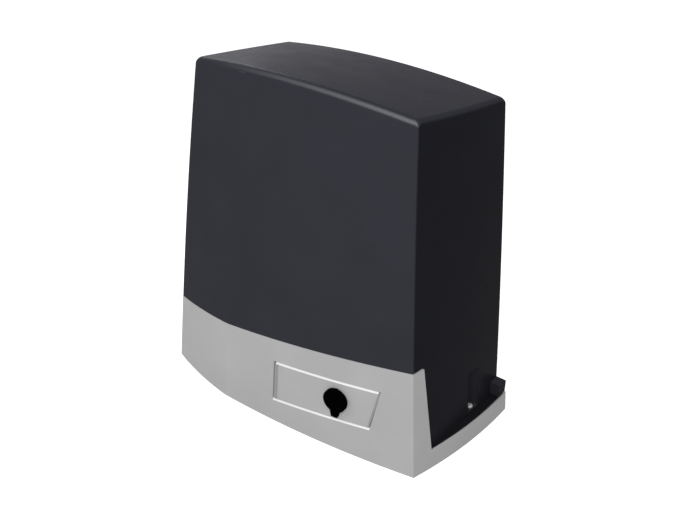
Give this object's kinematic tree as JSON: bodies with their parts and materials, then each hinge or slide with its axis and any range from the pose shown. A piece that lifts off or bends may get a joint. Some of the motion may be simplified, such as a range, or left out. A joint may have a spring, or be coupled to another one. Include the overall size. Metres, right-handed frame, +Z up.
{
  "type": "sliding gate motor",
  "caption": "Sliding gate motor with a tall tapered cover on a light base, a locked release hatch in front and a toothed pinion behind.",
  "frame": {"origin": "middle of the four fixing slots, in the plane that the base stands on", "axes": "+X along the gate, +Y towards the gate and its rack, +Z up; the release hatch faces -Y"},
  "size_m": [0.3144, 0.1926, 0.3221],
  "materials": {
    "cast_dark": "satin textured paint",
    "skirt_plastic": "fine moulded grain",
    "cover_plastic": "fine moulded grain",
    "black_plastic": "satin",
    "lid_metal": "as cast",
    "zinc_steel": "zinc plated",
    "dark_steel": "oiled",
    "shaft_steel": "ground",
    "bearing_steel": "polished",
    "bronze": "machined",
    "lock_brass": "plated",
    "gasket_rubber": "smooth",
    "motor_metal": "die cast",
    "lamination": "stacked",
    "copper": "enamelled wire",
    "frame_steel": "zinc plated sheet",
    "tray_plastic": "moulded",
    "board_green": "solder mask",
    "terminal_green": "moulded",
    "relay_blue": "moulded",
    "can_sleeve": "shrunk sleeve",
    "fuse_glass": "glass tube in plated clips",
    "button_plastic": "moulded",
    "trim_blue": "moulded",
    "tape_yellow": "wound tape",
    "capacitor_white": "moulded can",
    "nylon_grey": "moulded",
    "spring_steel": "drawn wire"
  },
  "bodies": {
    "base": {"base_casting": "cast_dark", "gearcase_lid": "lid_metal", "gearcase_gasket": "gasket_rubber", "lid_screws": "zinc_steel", "base_skirt": "skirt_plastic", "skirt_screws": "zinc_steel", "levelling_screws": "zinc_steel", "hatch_pin": "shaft_steel", "release_bush": "bronze", "release_spring": "spring_steel", "output_bearings": "bearing_steel", "shaft_seal": "gasket_rubber", "rotor_bearings": "bearing_steel", "motor_lower_shield": "motor_metal", "motor_upper_shield": "motor_metal", "motor_housing": "motor_metal", "stator_core": "lamination", "stator_windings": "copper", "motor_tie_rods": "zinc_steel", "back_frame": "frame_steel", "frame_screws": "zinc_steel", "board_tray": "tray_plastic", "control_board": "board_green", "terminal_blocks": "terminal_green", "relays": "relay_blue", "board_capacitors": "can_sleeve", "fuse_holder": "fuse_glass", "button_case": "black_plastic", "trim_base": "nylon_grey", "transformer": "tape_yellow", "transformer_bolt": "zinc_steel", "run_capacitor": "capacitor_white", "capacitor_clip": "frame_steel", "limit_switch_case": "black_plastic", "switch_contacts": "relay_blue", "lever_pin": "shaft_steel", "cable_gland": "nylon_grey", "earth_screw": "lock_brass", "oil_plug": "zinc_steel"},
    "cover": {"cover": "cover_plastic", "cover_screws": "zinc_steel"},
    "hatch": {"release_hatch": "skirt_plastic", "lock_nut": "zinc_steel", "cap_rivet": "dark_steel"},
    "lock": {"lock_barrel": "lock_brass", "lock_cam": "zinc_steel"},
    "lock_cap": {"lock_cap": "black_plastic"},
    "release_rod": {"release_rod": "shaft_steel"},
    "output": {"output_shaft": "shaft_steel", "worm_wheel": "bronze", "wheel_key": "dark_steel", "pinion": "dark_steel", "pinion_key": "dark_steel", "pinion_washer": "zinc_steel", "pinion_bolt": "zinc_steel"},
    "rotor": {"worm_shaft": "shaft_steel", "rotor_core": "lamination"},
    "limit_lever": {"limit_lever": "spring_steel"},
    "program_button": {"program_button": "button_plastic"},
    "trim_knob": {"trim_knob": "trim_blue"}
  },
  "joints": [
    {"name": "cover_lift", "type": "slide", "parent": "base", "child": "cover", "axis": [0, 0, 1], "range_m": [0, 0.3]},
    {"name": "hatch_swing", "type": "hinge", "parent": "base", "child": "hatch", "pos_m": [0.0084, -0.07099, 0.0524], "axis": [0, 0, -1], "range_deg": [0, 95]},
    {"name": "lock_turn", "type": "hinge", "parent": "hatch", "child": "lock", "pos_m": [0.0669, -0.06908, 0.0524], "axis": [-0.118, 0.993, 0], "range_deg": [0, 90]},
    {"name": "cap_swing", "type": "hinge", "parent": "hatch", "child": "lock_cap", "pos_m": [0.0669, -0.06908, 0.0618], "axis": [0.118, -0.993, 0], "range_deg": [0, 120]},
    {"name": "release_slide", "type": "slide", "parent": "base", "child": "release_rod", "axis": [0, -1, 0], "range_m": [0, 0.006]},
    {"name": "output_spin", "type": "hinge", "parent": "base", "child": "output", "pos_m": [0.05, 0.014, 0.058], "axis": [0, 1, 0], "continuous": true},
    {"name": "rotor_spin", "type": "hinge", "parent": "base", "child": "rotor", "pos_m": [0.005, 0.014, 0.058], "axis": [0, 0, 1], "continuous": true},
    {"name": "lever_swing", "type": "hinge", "parent": "base", "child": "limit_lever", "pos_m": [0.05, 0.069, 0.118], "axis": [0, 0, 1], "range_deg": [-30, 30], "stiffness_Nm_per_rad": 0.05},
    {"name": "button_press", "type": "slide", "parent": "base", "child": "program_button", "axis": [0, 1, 0], "range_m": [0, 0.0008], "stiffness_N_per_m": 400},
    {"name": "trim_turn", "type": "hinge", "parent": "base", "child": "trim_knob", "pos_m": [0.044, 0.045, 0.262], "axis": [0, 1, 0], "range_deg": [0, 270]}
  ],
  "couplings": [
    {"joint": "release_slide", "follows": "hatch_swing", "m_per_rad": 0.0036187},
    {"joint": "rotor_spin", "follows": "output_spin", "ratio": -28}
  ]
}
